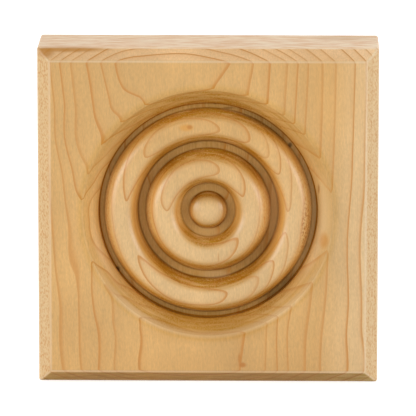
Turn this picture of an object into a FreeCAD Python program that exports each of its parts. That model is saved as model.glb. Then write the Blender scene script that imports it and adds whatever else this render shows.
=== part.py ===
# Corner rosette block: a square block of maple with a bullseye turned into its chamfered face
import FreeCAD, Part
import enum
import math
import os
import Sketcher

# Millimetres. The origin is the centre of the back face, +Z is up along the grain, the face looks to -Y.
# Depths are measured back from the front face. The rosette's widths add up from its centre outwards.
SIZES = {
    "block_width": 101.6,
    "block_height": 101.6,
    "block_thickness": 27.0,
    "edge_chamfer": 3.75,
    "arris_ease": 0.5,
    "rim_ease": 0.4,
    "rosette_rise": 1.2,
    "button_radius": 5.7,
    "button_drop": 3.2,
    "button_round": 2.3,
    "button_crown": 9.0,
    "inner_groove_width": 2.4,
    "inner_groove_depth": 6.6,
    "middle_ring_width": 10.6,
    "middle_ring_drop": 1.6,
    "middle_groove_width": 2.2,
    "middle_groove_depth": 7.2,
    "outer_ring_width": 10.15,
    "outer_ring_drop": 1.7,
    "ring_inner_round": 3.4,
    "ring_outer_round": 4.0,
    "ring_crown": 8.5,
    "side_draft_degrees": 22.0,
    "outer_groove_width": 1.7,
    "outer_groove_depth": 6.2,
    "dish_width": 4.75,
    "dish_depth": 4.8,
}
# How far the turned profile is closed in front of the face, so that the cut leaves no skin there
FRONT_CLEAR = 2.0
# How near a midpoint or a plane has to be to count as lying on it
NEAR = 0.001


class At(enum.IntEnum):
    """How a constraint names an element's start, end and centre."""

    START = 1
    END = 2
    CENTRE = 3


# How a constraint names the sketch's origin and its vertical axis
ORIGIN = (-1, At.START)
V_AXIS = -2


def make_sheet(doc):
    """Keep every driving dimension in one spreadsheet, each under its own alias."""
    sheet = doc.addObject("Spreadsheet::Sheet", "sizes")
    for row, (alias, value) in enumerate(SIZES.items(), start=1):
        sheet.set(f"A{row}", alias.replace("_", " "))
        sheet.set(f"B{row}", str(value))
        sheet.setAlias(f"B{row}", alias)
    doc.recompute()
    return sheet


def origin_plane(body, role):
    """Find one of the body's own origin planes."""
    return next(plane for plane in body.Origin.OriginFeatures if plane.Role == role)


def attach_sketch(body, role, name):
    """Add an empty sketch on one of the body's origin planes."""
    sketch = body.newObject("Sketcher::SketchObject", name)
    sketch.AttachmentSupport = [(origin_plane(body, role), "")]
    sketch.MapMode = "FlatFace"
    return sketch


def point(x, y):
    return FreeCAD.Vector(x, y, 0)


def turn_from(centre, other):
    """The angle at which one point is seen from another."""
    return math.atan2(other.y - centre.y, other.x - centre.x)


def bind(sketch, kind, places, value, expression):
    """Add a dimension to a sketch and tie it to the sheet."""
    index = sketch.addConstraint(Sketcher.Constraint(kind, *places, value))
    sketch.setExpression(f"Constraints[{index}]", expression)


def join(sketch, kind, first, second):
    """Join the end of one element to the start of the next, touching or tangent."""
    sketch.addConstraint(Sketcher.Constraint(kind, first, At.END, second, At.START))


def edges_where(feature, test):
    """Name the edges of a feature whose midpoint passes a test."""
    names = []
    for number, edge in enumerate(feature.Shape.Edges, start=1):
        middle = edge.valueAt((edge.FirstParameter + edge.LastParameter) / 2)
        if test(middle):
            names.append(f"Edge{number}")
    return names


def bevel(body, name, base, edges, alias):
    """Chamfer the named edges of a feature, with the chamfer's size tied to the sheet."""
    feature = body.newObject("PartDesign::Chamfer", name)
    feature.Base = (base, edges)
    feature.setExpression("Size", f"sizes.{alias}")
    body.Document.recompute()
    return feature


def draw_square(sketch, sheet):
    """Draw the block's outline, centred on the origin."""
    half_x = sheet.block_width / 2
    half_z = sheet.block_height / 2
    signs = ((-1, -1), (1, -1), (1, 1), (-1, 1))
    corners = [point(x * half_x, z * half_z) for x, z in signs]
    sides = []
    for k in range(4):
        side = Part.LineSegment(corners[k], corners[(k + 1) % 4])
        sides.append(sketch.addGeometry(side, False))
    for k in range(4):
        join(sketch, "Coincident", sides[k], sides[(k + 1) % 4])
        sketch.addConstraint(Sketcher.Constraint("Vertical" if k % 2 else "Horizontal", sides[k]))
    sketch.addConstraint(Sketcher.Constraint("Symmetric", sides[0], At.START, sides[2], At.START, *ORIGIN))
    bind(sketch, "DistanceX", (sides[0], At.START, sides[0], At.END), 2 * half_x, "sizes.block_width")
    bind(sketch, "DistanceY", (sides[1], At.START, sides[1], At.END), 2 * half_z, "sizes.block_height")


class RosetteSection:
    """Half of the bullseye's section, drawn from its axis outwards, one element joined to the next."""

    def __init__(self, sketch, sheet):
        self.sketch = sketch
        self.sheet = sheet
        self.face = -sheet.block_thickness
        self.draft = math.radians(sheet.side_draft_degrees)
        self.here = None
        self.last = None
        self.radius = 0.0
        self.radius_words = "0"

    def add(self, geometry, tangent=False):
        """Add an element and join it to the one before."""
        index = self.sketch.addGeometry(geometry, False)
        if self.last is not None:
            join(self.sketch, "Tangent" if tangent else "Coincident", self.last, index)
        self.last = index
        self.here = geometry.EndPoint
        return index

    def line(self, x, y, kind=None):
        index = self.add(Part.LineSegment(self.here, point(x, y)))
        if kind:
            self.sketch.addConstraint(Sketcher.Constraint(kind, index))
        return index

    def arc(self, centre, radius, first, last, radius_words):
        """Add an arc tangent to the element before, with its radius tied to the sheet."""
        circle = Part.Circle(centre, FreeCAD.Vector(0, 0, 1), radius)
        index = self.add(Part.ArcOfCircle(circle, first, last), tangent=True)
        bind(self.sketch, "Radius", (index,), radius, radius_words)
        return index

    def set_depth(self, index, place, depth, words):
        """Hold a point at a depth behind the face."""
        value = -(self.face + depth)
        self.bind_back(index, place, value, f"sizes.block_thickness - ({words})")

    def bind_back(self, index, place, value, words):
        bind(self.sketch, "DistanceY", (index, place, *ORIGIN), value, words)

    def set_radius(self, index, place, radius, words):
        """Hold a point at a radius from the rosette's axis."""
        bind(self.sketch, "DistanceX", (*ORIGIN, index, place), radius, words)

    def step_out(self, alias):
        """Move the running radius outwards by one named width."""
        self.radius += getattr(self.sheet, alias)
        self.radius_words += f" + sizes.{alias}"

    def button(self):
        """The domed button: a shallow crown centred on the axis, a round shoulder and a leaning side."""
        size = self.sheet
        self.step_out("button_radius")
        foot = point(self.radius, self.face + size.inner_groove_depth)
        crown_centre = point(0, self.face + size.button_drop + size.button_crown)
        shoulder = self.shoulder_centre(foot, -1, size.button_round, crown_centre, size.button_crown)
        turn = turn_from(crown_centre, shoulder)
        crown = self.arc(crown_centre, size.button_crown, -math.pi / 2, turn, "sizes.button_crown")
        self.sketch.addConstraint(Sketcher.Constraint("PointOnObject", crown, At.START, V_AXIS))
        self.sketch.addConstraint(Sketcher.Constraint("PointOnObject", crown, At.CENTRE, V_AXIS))
        self.set_depth(crown, At.START, size.button_drop, "sizes.button_drop")
        self.arc(shoulder, size.button_round, turn, -self.draft, "sizes.button_round")
        self.outer_side(foot, "sizes.inner_groove_depth")
        return crown

    def shoulder_centre(self, foot, way, round_radius, crown_centre, crown_radius):
        """Find a shoulder's centre, tangent to the leaning side from foot and to the crown inside it.

        way is 1 where the bead lies outwards of its side, and -1 where it lies inwards.
        """
        up = FreeCAD.Vector(way * math.sin(self.draft), -math.cos(self.draft), 0)
        into = FreeCAD.Vector(way * math.cos(self.draft), math.sin(self.draft), 0)
        offset = foot + into * round_radius - crown_centre
        along = offset.dot(up)
        reach = crown_radius - round_radius
        climb = -along + math.sqrt(along ** 2 - offset.dot(offset) + reach ** 2)
        return crown_centre + offset + up * climb

    def outer_side(self, foot, words):
        """A straight side, leaning by the draft, down to its foot on a groove floor."""
        side = self.add(Part.LineSegment(self.here, foot), tangent=True)
        self.lean(side, 90.0, -1)
        self.set_radius(side, At.END, self.radius, self.radius_words)
        self.set_depth(side, At.END, foot.y - self.face, words)

    def lean(self, side, square_degrees, way):
        """Hold a side at the draft angle from the rosette's axis."""
        angle = math.radians(square_degrees) + way * self.draft
        words = f"{square_degrees} deg + ({way}) * sizes.side_draft_degrees * 1 deg"
        bind(self.sketch, "Angle", (side,), angle, words)

    def groove_floor(self, alias):
        """The flat floor of a groove, out to its far side."""
        self.step_out(alias)
        self.line(self.radius, self.here.y, "Horizontal")

    def ring(self, name, floor_alias):
        """A bead: two leaning sides, two round shoulders and a crown between them."""
        size = self.sheet
        inner_foot = self.here
        inner_words = self.radius_words
        self.step_out(f"{name}_width")
        outer_foot = point(self.radius, self.face + getattr(size, floor_alias))
        drop = getattr(size, f"{name}_drop")
        crest = (inner_foot.x + size.ring_inner_round + self.radius - size.ring_outer_round) / 2
        crown_centre = point(crest, self.face + drop + size.ring_crown)
        first = self.shoulder_centre(inner_foot, 1, size.ring_inner_round, crown_centre, size.ring_crown)
        last = self.shoulder_centre(outer_foot, -1, size.ring_outer_round, crown_centre, size.ring_crown)
        first_turn = turn_from(crown_centre, first)
        last_turn = turn_from(crown_centre, last)
        inner_turn = self.draft - math.pi
        inner_top = first + point(math.cos(inner_turn), math.sin(inner_turn)) * size.ring_inner_round

        side = self.line(inner_top.x, inner_top.y)
        self.lean(side, -90.0, 1)
        self.set_radius(side, At.START, inner_foot.x, inner_words)
        self.arc(first, size.ring_inner_round, inner_turn, first_turn, "sizes.ring_inner_round")
        crown = self.arc(crown_centre, size.ring_crown, first_turn, last_turn, "sizes.ring_crown")
        inner_end = f"{inner_words} + sizes.ring_inner_round"
        outer_end = f"{self.radius_words} - sizes.ring_outer_round"
        self.set_radius(crown, At.CENTRE, crest, f"({inner_end} + {outer_end}) / 2")
        self.set_depth(crown, At.CENTRE, drop + size.ring_crown, f"sizes.{name}_drop + sizes.ring_crown")
        self.arc(last, size.ring_outer_round, last_turn, -self.draft, "sizes.ring_outer_round")
        self.outer_side(outer_foot, f"sizes.{floor_alias}")

    def dish(self):
        """The last groove wall and the sloping dish, out to the rim on the face."""
        size = self.sheet
        wall = self.line(self.radius, self.face + size.dish_depth, "Vertical")
        self.set_radius(wall, At.START, self.radius, self.radius_words)
        self.set_depth(wall, At.END, size.dish_depth, "sizes.dish_depth")
        self.step_out("dish_width")
        slope = self.line(self.radius, self.face)
        self.set_radius(slope, At.END, self.radius, self.radius_words)
        self.set_depth(slope, At.END, 0.0, "0")

    def close(self, first):
        """Close the section in front of the face and along the axis."""
        front = self.face - FRONT_CLEAR
        self.line(self.radius, front, "Vertical")
        lid = self.line(0, front, "Horizontal")
        self.bind_back(lid, At.END, -front, f"sizes.block_thickness + {FRONT_CLEAR}")
        axis = self.line(0, self.face + self.sheet.button_drop, "Vertical")
        join(self.sketch, "Coincident", axis, first)


def draw_rosette(sketch, sheet):
    """Draw the half-section of everything that the cutter takes out of the face."""
    section = RosetteSection(sketch, sheet)
    first = section.button()
    section.groove_floor("inner_groove_width")
    section.ring("middle_ring", "middle_groove_depth")
    section.groove_floor("middle_groove_width")
    section.ring("outer_ring", "outer_groove_depth")
    section.groove_floor("outer_groove_width")
    section.dish()
    section.close(first)
    return section.radius


def make_block(doc, sheet):
    """The one solid: a padded square, chamfered and eased, with the bullseye turned out of its face."""
    body = doc.addObject("PartDesign::Body", "rosette_block")
    body.Label = "rosette_block"
    body.Placement = FreeCAD.Placement()

    outline = attach_sketch(body, "XZ_Plane", "outline")
    draw_square(outline, sheet)
    pad = body.newObject("PartDesign::Pad", "blank")
    pad.Profile = outline
    pad.setExpression("Length", "sizes.block_thickness")
    doc.recompute()

    face = -sheet.block_thickness
    front_edges = edges_where(pad, lambda middle: abs(middle.y - face) < NEAR)
    chamfer = bevel(body, "front_chamfer", pad, front_edges, "edge_chamfer")

    loops = (face, face + sheet.edge_chamfer, 0.0)
    arrises = edges_where(chamfer, lambda middle: any(abs(middle.y - depth) < NEAR for depth in loops))
    eased = bevel(body, "eased_arrises", chamfer, arrises, "arris_ease")

    section = attach_sketch(body, "XY_Plane", "rosette_section")
    section.setExpression(".AttachmentOffset.Base.z", "sizes.rosette_rise")
    rim_radius = draw_rosette(section, sheet)
    groove = body.newObject("PartDesign::Groove", "turned_rosette")
    groove.Profile = section
    groove.ReferenceAxis = (section, ["V_Axis"])
    groove.Angle = 360.0
    doc.recompute()
    if not groove.Shape.Volume < eased.Shape.Volume:
        raise RuntimeError("the rosette section cut nothing from the block")

    def on_rim(middle):
        from_axis = math.hypot(middle.x, middle.z - sheet.rosette_rise)
        return abs(from_axis - rim_radius) < NEAR and abs(middle.y - face) < NEAR

    rim = edges_where(groove, on_rim)
    body.Tip = bevel(body, "eased_rim", groove, rim, "rim_ease")
    doc.recompute()
    return body


def check(doc, bodies):
    """Stop before anything is written if a feature failed or a solid is broken."""
    for item in doc.Objects:
        if "Invalid" in item.State or "Error" in item.State:
            raise RuntimeError(f"{item.Name} failed: {item.State}")
        if item.isDerivedFrom("Sketcher::SketchObject") and not item.FullyConstrained:
            raise RuntimeError(f"{item.Name} is not fully constrained")
    for body in bodies:
        if body.Shape.isNull() or not body.Shape.isValid() or len(body.Shape.Solids) != 1:
            raise RuntimeError(f"{body.Label} is not one valid solid")


def main():
    doc = FreeCAD.newDocument("corner_rosette_block")
    sheet = make_sheet(doc)
    bodies = [make_block(doc, sheet)]
    check(doc, bodies)
    os.makedirs("parts", exist_ok=True)
    for body in bodies:
        body.Shape.exportStep(f"parts/{body.Label}.step")
        print(body.Label, "volume", round(body.Shape.Volume, 1), "mm3, box", body.Shape.BoundBox)


main()
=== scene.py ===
# %% [markdown]
# A corner rosette block is the square of wood that fills the corner where two door casings meet.
# It is cut from one length of maple, so the whole object is one piece: a square with chamfered front
# edges and a bullseye turned into its face. The lesson loads the part's exact model as a fixed frame,
# makes a finer mesh of the same form, and gives it the wood that the eye expects.

# %% Load the frame
import math

import bpy
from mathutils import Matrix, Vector


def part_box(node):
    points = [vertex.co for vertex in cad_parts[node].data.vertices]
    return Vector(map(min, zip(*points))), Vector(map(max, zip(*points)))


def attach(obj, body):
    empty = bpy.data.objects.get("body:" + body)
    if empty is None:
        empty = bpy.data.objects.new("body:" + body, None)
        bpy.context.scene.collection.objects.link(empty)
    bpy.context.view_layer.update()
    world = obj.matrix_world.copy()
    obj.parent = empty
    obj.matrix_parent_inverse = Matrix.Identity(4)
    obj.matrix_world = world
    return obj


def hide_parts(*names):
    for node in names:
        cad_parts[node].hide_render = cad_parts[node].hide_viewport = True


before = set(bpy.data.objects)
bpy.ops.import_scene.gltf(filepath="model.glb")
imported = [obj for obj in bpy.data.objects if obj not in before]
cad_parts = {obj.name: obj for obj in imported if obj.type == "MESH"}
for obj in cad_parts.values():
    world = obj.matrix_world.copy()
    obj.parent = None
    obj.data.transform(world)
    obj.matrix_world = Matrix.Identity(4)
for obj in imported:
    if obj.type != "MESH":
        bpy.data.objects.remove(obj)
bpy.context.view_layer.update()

MM = 0.001
low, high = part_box("rosette_block")
HALF = (high.x - low.x) / 2 / MM
FACE = low.y / MM
print("block", round(2 * HALF, 2), "mm wide, face at y", round(FACE, 2), "mm")

# %% [markdown]
# The picture looks at the block from far away, a little from above and a touch from the right, so a
# long lens does it. The camera is placed by two angles and a distance, which is easier to tune against
# the block's outline than three coordinates are.

# %% Camera
VIEW_AZIMUTH = 1.05
VIEW_ELEVATION = 11.3
VIEW_DISTANCE = 1500.0
LENS = 436.0
SENSOR_WIDTH = 36.0
CLIP_START = 0.05
CLIP_END = 20.0
AIM_RIGHT = 0.06
AIM_UP = 2.93

azimuth = math.radians(VIEW_AZIMUTH)
elevation = math.radians(VIEW_ELEVATION)
flatness = math.cos(elevation)
back = Vector((math.sin(azimuth) * flatness, -math.cos(azimuth) * flatness, math.sin(elevation)))
right = Vector((math.cos(azimuth), math.sin(azimuth), 0.0))
aim = Vector((0.0, FACE, 0.0)) + right * AIM_RIGHT + back.cross(right) * AIM_UP
camera = bpy.data.objects.new("camera", bpy.data.cameras.new("camera"))
camera.data.lens = LENS
camera.data.sensor_width = SENSOR_WIDTH
camera.data.clip_start = CLIP_START
camera.data.clip_end = CLIP_END
camera.location = (aim + back * VIEW_DISTANCE) * MM
camera.rotation_euler = (-back).to_track_quat("-Z", "Y").to_euler()
bpy.context.scene.collection.objects.link(camera)
bpy.context.scene.camera = camera
print("camera at", [round(value, 3) for value in camera.location])

# %% [markdown]
# The shape of the whole block follows one rule: a half-section, from the middle of the button out over
# the beads, the dish, the face and the chamfer, then round to the middle of the back, is carried once
# around. Inside the rosette each point of the section goes round in a circle, outside it in a square.
# So the section comes first. Its straight sides lean by the draft of the cutter, and each bead is a
# flat crown between two round shoulders, tangent to it and to the sides.

# %% Section of the rosette
BUTTON_DROP = 3.2
BUTTON_ROUND = 2.3
BUTTON_CROWN = 9.0
# Each groove floor: its inner radius, its outer radius and its depth below the face.
INNER_FLOOR = (5.7, 8.1, 6.6)
MIDDLE_FLOOR = (18.7, 20.9, 7.2)
OUTER_FLOOR = (31.05, 32.75, 6.2)
MIDDLE_DROP = 1.6
OUTER_DROP = 1.7
INNER_ROUND = 3.4
OUTER_ROUND = 4.0
RING_CROWN = 8.5
SIDE_DRAFT = math.radians(22.0)
DISH_DEPTH = 4.8
RIM_RADIUS = 37.5
RIM_EASE = 0.4
ROSETTE_RISE = 1.2
ROW_STEP = 0.42
EDGE_STEP = 0.1


def straight(start, end, step=ROW_STEP):
    """Points along a straight stretch, without its start. Close rows at its ends keep corners crisp."""
    length = math.dist(start, end)
    count = max(1, round(length / step))
    shares = {k / count for k in range(1, count)} | {1.0}
    if length > 4 * EDGE_STEP:
        shares |= {EDGE_STEP / length, 1 - EDGE_STEP / length}
    return [(start[0] + (end[0] - start[0]) * t, start[1] + (end[1] - start[1]) * t) for t in sorted(shares)]


def arc(centre, radius, first, last):
    """Points on an arc. A turn of 0 looks out of the face, and a positive turn leans away from the axis."""
    count = max(2, round(abs(last - first) * radius / ROW_STEP))
    turns = [first + (last - first) * k / count for k in range(count + 1)]
    return [(centre[0] + radius * math.sin(turn), centre[1] - radius * math.cos(turn)) for turn in turns]


def shoulder(crest, drop, crown, foot, rounding):
    """Where the crown stops, and the centre of the shoulder that runs on to the leaning side from foot."""
    way = math.copysign(1.0, foot[0] - crest)
    below = drop + crown - foot[1]
    reach = math.cos(SIDE_DRAFT) * abs(foot[0] - crest) + math.sin(SIDE_DRAFT) * below - rounding
    turn = way * (math.asin(reach / (crown - rounding)) - SIDE_DRAFT)
    centre = (crest + (crown - rounding) * math.sin(turn), drop + crown - (crown - rounding) * math.cos(turn))
    return turn, centre


def bead(inner_floor, outer_floor, drop):
    """One bead, from its inner foot to its outer foot."""
    inner_foot = (inner_floor[1], inner_floor[2])
    outer_foot = (outer_floor[0], outer_floor[2])
    crest = (inner_foot[0] + INNER_ROUND + outer_foot[0] - OUTER_ROUND) / 2
    first, first_centre = shoulder(crest, drop, RING_CROWN, inner_foot, INNER_ROUND)
    last, last_centre = shoulder(crest, drop, RING_CROWN, outer_foot, OUTER_ROUND)
    side = math.pi / 2 - SIDE_DRAFT
    inner_arc = arc(first_centre, INNER_ROUND, -side, first)
    crown = arc((crest, drop + RING_CROWN), RING_CROWN, first, last)
    outer_arc = arc(last_centre, OUTER_ROUND, last, side)
    points = straight(inner_foot, inner_arc[0]) + inner_arc[1:] + crown[1:] + outer_arc[1:]
    return points + straight(points[-1], outer_foot)


def floor_of(groove):
    """The flat floor of one groove."""
    return straight((groove[0], groove[2]), (groove[1], groove[2]))


foot_of_button = (INNER_FLOOR[0], INNER_FLOOR[2])
button_turn, button_centre = shoulder(0.0, BUTTON_DROP, BUTTON_CROWN, foot_of_button, BUTTON_ROUND)
section = arc((0.0, BUTTON_DROP + BUTTON_CROWN), BUTTON_CROWN, 0.0, button_turn)
section += arc(button_centre, BUTTON_ROUND, button_turn, math.pi / 2 - SIDE_DRAFT)[1:]
section += straight(section[-1], foot_of_button)
section += floor_of(INNER_FLOOR) + bead(INNER_FLOOR, MIDDLE_FLOOR, MIDDLE_DROP)
section += floor_of(MIDDLE_FLOOR) + bead(MIDDLE_FLOOR, OUTER_FLOOR, OUTER_DROP)
section += floor_of(OUTER_FLOOR)
section += straight(section[-1], (OUTER_FLOOR[1], DISH_DEPTH))
slope = math.atan2(DISH_DEPTH, RIM_RADIUS - OUTER_FLOOR[1])
slope_top = (RIM_RADIUS - RIM_EASE * math.cos(slope), RIM_EASE * math.sin(slope))
section += straight(section[-1], slope_top)
section += straight(slope_top, (RIM_RADIUS + RIM_EASE, 0.0))
rosette_rows = len(section)
print("rosette section has", rosette_rows, "points, rim at", round(section[-1][0], 2), "mm")

# %% [markdown]
# Past the rim the section leaves the rosette: flat face, chamfer, edge and back. The arrises are sanded
# off by half a millimetre, as they are on the real block, and a few close rows there let smooth shading
# round them. Each point also carries how square its ring is, from 0 at the rim to 1 at the chamfer.

# %% Section of the block
CHAMFER = 3.75
EASE = 0.5
SLANT = EASE * math.sqrt(0.5)
THICKNESS = -FACE
FLAT_STEP = 3.0

outer_points = [
    (HALF - CHAMFER - EASE, 0.0),
    (HALF - CHAMFER + SLANT, SLANT),
    (HALF - SLANT, CHAMFER - SLANT),
    (HALF, CHAMFER + EASE),
    (HALF, THICKNESS - EASE),
    (HALF - EASE, THICKNESS),
    (0.0, THICKNESS),
]
for corner_point in outer_points:
    section += straight(section[-1], corner_point, FLAT_STEP)
face_half = outer_points[0][0]
rim = RIM_RADIUS + RIM_EASE
squareness = [0.0] * rosette_rows
squareness += [min(1.0, (reach - rim) / (face_half - rim)) if depth == 0.0 else 1.0
               for reach, depth in section[rosette_rows:]]
print("whole section has", len(section), "points")

# %% [markdown]
# Both the shape and the wood are node trees, and a tree is long to write out node by node. One small
# function adds a node, sets its properties and feeds its sockets, so that each later line reads as one
# step of the recipe.

# %% A node helper
def add(tree, kind, inputs=(), **settings):
    """Add a node: set its properties, then feed its sockets from values, nodes or other sockets."""
    made = tree.nodes.new(kind)
    for name, value in settings.items():
        setattr(made, name, value)
    for key, value in inputs.items() if isinstance(inputs, dict) else enumerate(inputs):
        named = [socket for socket in made.inputs if socket.enabled and socket.name == key]
        socket = named[0] if named else made.inputs[key]
        if isinstance(value, bpy.types.Node):
            value = next(output for output in value.outputs if output.enabled)
        if isinstance(value, bpy.types.NodeSocket):
            tree.links.new(value, socket)
        else:
            socket.default_value = value
    return made


print("helper ready")

# %% [markdown]
# Geometry Nodes can now do the turning. The object's own mesh is only the section, one vertex for each
# point, with its squareness in Z. The tree lays out a grid of rows and columns and looks up the section
# point of each row. A script could place every vertex itself, but the tree keeps its sizes as named
# inputs that can be changed later.

# %% The turning tree: rows and columns
COLUMNS = 480
CORNER_RADIUS = 0.8
BUNCHING = 0.78
WELD = 1e-7

turning = bpy.data.node_groups.new("turned block", "GeometryNodeTree")
for name, kind, way in (
    ("Section", "NodeSocketGeometry", "INPUT"),
    ("Columns", "NodeSocketInt", "INPUT"),
    ("Rosette rise", "NodeSocketFloat", "INPUT"),
    ("Corner radius", "NodeSocketFloat", "INPUT"),
    ("Corner bunching", "NodeSocketFloat", "INPUT"),
    ("Wood", "NodeSocketMaterial", "INPUT"),
    ("Block", "NodeSocketGeometry", "OUTPUT"),
):
    turning.interface.new_socket(name=name, in_out=way, socket_type=kind)
given = add(turning, "NodeGroupInput").outputs

rows = add(turning, "GeometryNodeAttributeDomainSize", {"Geometry": given["Section"]}).outputs["Point Count"]
columns = add(turning, "ShaderNodeMath", (given["Columns"], 1.0), operation="ADD")
grid = add(turning, "GeometryNodeMeshGrid", {"Vertices X": rows, "Vertices Y": columns})
index = add(turning, "GeometryNodeInputIndex")
whole_rows = add(turning, "ShaderNodeMath", (index, columns), operation="DIVIDE")
row = add(turning, "ShaderNodeMath", (whole_rows,), operation="FLOOR")
column = add(turning, "ShaderNodeMath", (index, columns), operation="FLOORED_MODULO")
position = add(turning, "GeometryNodeInputPosition")
point = add(turning, "GeometryNodeSampleIndex",
            {"Geometry": given["Section"], "Value": position, "Index": row}, data_type="FLOAT_VECTOR")
parts = add(turning, "ShaderNodeSeparateXYZ", (point,)).outputs
print("inputs:", [item.name for item in turning.interface.items_tree if item.in_out == "INPUT"])

# %% [markdown]
# Each column is an angle around the axis. Columns are bunched towards the four corners, because the
# rounded corners are small and the circles are not: a sine wave with four swings to a turn moves the even
# angles. In the rosette, a point goes out along its angle by its radius, from the raised centre.

# %% The turning tree: circles
CORNERS = 4.0

share = add(turning, "ShaderNodeMath", (column, given["Columns"]), operation="DIVIDE")
even = add(turning, "ShaderNodeMath", (share, 2 * math.pi), operation="MULTIPLY")
swings = add(turning, "ShaderNodeMath", (even, CORNERS), operation="MULTIPLY")
wave = add(turning, "ShaderNodeMath", (swings,), operation="SINE")
quarter = add(turning, "ShaderNodeMath", (given["Corner bunching"], CORNERS), operation="DIVIDE")
angle = add(turning, "ShaderNodeMath", (wave, quarter, even), operation="MULTIPLY_ADD")
across = add(turning, "ShaderNodeMath", (angle,), operation="COSINE")
upward = add(turning, "ShaderNodeMath", (angle,), operation="SINE")
direction = add(turning, "ShaderNodeCombineXYZ", {"X": across, "Z": upward})
circle = add(turning, "ShaderNodeVectorMath", {0: direction, "Scale": parts["X"]}, operation="SCALE")
lift = add(turning, "ShaderNodeCombineXYZ", {"Z": given["Rosette rise"]})
lifted = add(turning, "ShaderNodeVectorMath", (circle, lift), operation="ADD")
print("circles ready")

# %% [markdown]
# Outside the rosette the same angle meets a square. Dividing by the larger of sine and cosine carries the
# point out to it, and pulling back what lies in a corner to a small radius rounds that corner. Squareness
# then mixes circle and square, and the section's depth sets the point back from the face. The grid's seam
# and its two poles are welded shut, and the tree ends in a real mesh with its material.

# %% The turning tree: squares and finish
width = add(turning, "ShaderNodeMath", (across,), operation="ABSOLUTE")
rise = add(turning, "ShaderNodeMath", (upward,), operation="ABSOLUTE")
larger = add(turning, "ShaderNodeMath", (width, rise), operation="MAXIMUM")
stretch = add(turning, "ShaderNodeMath", (parts["X"], larger), operation="DIVIDE")
outline = add(turning, "ShaderNodeVectorMath", {0: direction, "Scale": stretch}, operation="SCALE")
corner = add(turning, "ShaderNodeMath", (given["Corner radius"], parts["X"]), operation="MINIMUM")
inside = add(turning, "ShaderNodeMath", (parts["X"], corner), operation="SUBTRACT")
most = add(turning, "ShaderNodeCombineXYZ", (inside, inside, inside))
least = add(turning, "ShaderNodeVectorMath", {0: most, "Scale": -1.0}, operation="SCALE")
capped = add(turning, "ShaderNodeVectorMath", (outline, most), operation="MINIMUM")
kept = add(turning, "ShaderNodeVectorMath", (capped, least), operation="MAXIMUM")
beyond = add(turning, "ShaderNodeVectorMath", (outline, kept), operation="SUBTRACT")
corner_way = add(turning, "ShaderNodeVectorMath", (beyond,), operation="NORMALIZE")
rounded = add(turning, "ShaderNodeVectorMath", {0: corner_way, "Scale": corner}, operation="SCALE")
square = add(turning, "ShaderNodeVectorMath", (kept, rounded), operation="ADD")

ring = add(turning, "ShaderNodeMix", {"Factor": parts["Z"], "A": lifted, "B": square}, data_type="VECTOR")
set_back = add(turning, "ShaderNodeCombineXYZ", {"Y": parts["Y"]})
place = add(turning, "ShaderNodeVectorMath", (ring, set_back), operation="ADD")
turned = add(turning, "GeometryNodeSetPosition", {"Geometry": grid, "Position": place})
welded = add(turning, "GeometryNodeMergeByDistance", {"Geometry": turned, "Distance": WELD})
smooth = add(turning, "GeometryNodeSetShadeSmooth", {"Geometry": welded})
real = add(turning, "GeometryNodeRealizeInstances", {"Geometry": smooth})
finished = add(turning, "GeometryNodeSetMaterial", {"Geometry": real, "Material": given["Wood"]})
add(turning, "NodeGroupOutput", {"Block": finished})
print("turning tree has", len(turning.nodes), "nodes")

# %% [markdown]
# Maple is a pale, close wood. What the eye reads is a thin brown line where each year's growth stops, a
# very fine streak along the fibres, and small flecks where the cut runs along the rays. All of it sits in
# the solid, so the pattern is worked out in the tree's own space: a Mapping node puts the pith, which lay
# in front of the face, on the Z axis, and every ring is then a cylinder that the block's faces cut through.

# %% Wood: where a point lies in the tree
PITH = (-6.9, -89.1, 0.0)
PITH_LEAN = (math.atan(-0.0447), math.atan(-0.0351), 0.0)


def linear(hex_colour):
    """Turn an sRGB hex colour into the linear values that the shaders take."""
    values = [int(hex_colour[k:k + 2], 16) / 255 for k in (1, 3, 5)]
    return tuple(v / 12.92 if v <= 0.04045 else ((v + 0.055) / 1.055) ** 2.4 for v in values) + (1.0,)


# Maple, sanded and left bare: a warm pale ground, thin brown year lines and a soft sheen on long grain.
maple = bpy.data.materials.new("sanded maple")
maple.use_nodes = True
wood = maple.node_tree
wood.nodes.clear()
seen = add(wood, "ShaderNodeTexCoord").outputs
spot = add(wood, "ShaderNodeVectorMath", {0: seen["Object"], "Scale": 1 / MM}, operation="SCALE")
bole = add(wood, "ShaderNodeMapping", {"Vector": spot, "Location": PITH, "Rotation": PITH_LEAN},
           vector_type="TEXTURE")
from_pith = add(wood, "ShaderNodeVectorMath", (bole, (1.0, 1.0, 0.0)), operation="MULTIPLY")
distance = add(wood, "ShaderNodeVectorMath", (from_pith,), operation="LENGTH")
print("pith at", PITH, "mm")

# %% [markdown]
# The cut matters as much as the tree, so a few measures say where on the block a point is: how far below
# the face, how far from the rosette's axis, how squarely it looks out of the face, and how nearly its
# surface crosses the fibres. From them come the turned zone, its crests and its groove floors.

# %% Wood: where a point lies on the block
TURNED_DEPTH = 9.0
CREST_DEPTHS = (4.6, 3.8)
FLOOR_DEPTHS = (5.2, 6.0)

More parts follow.
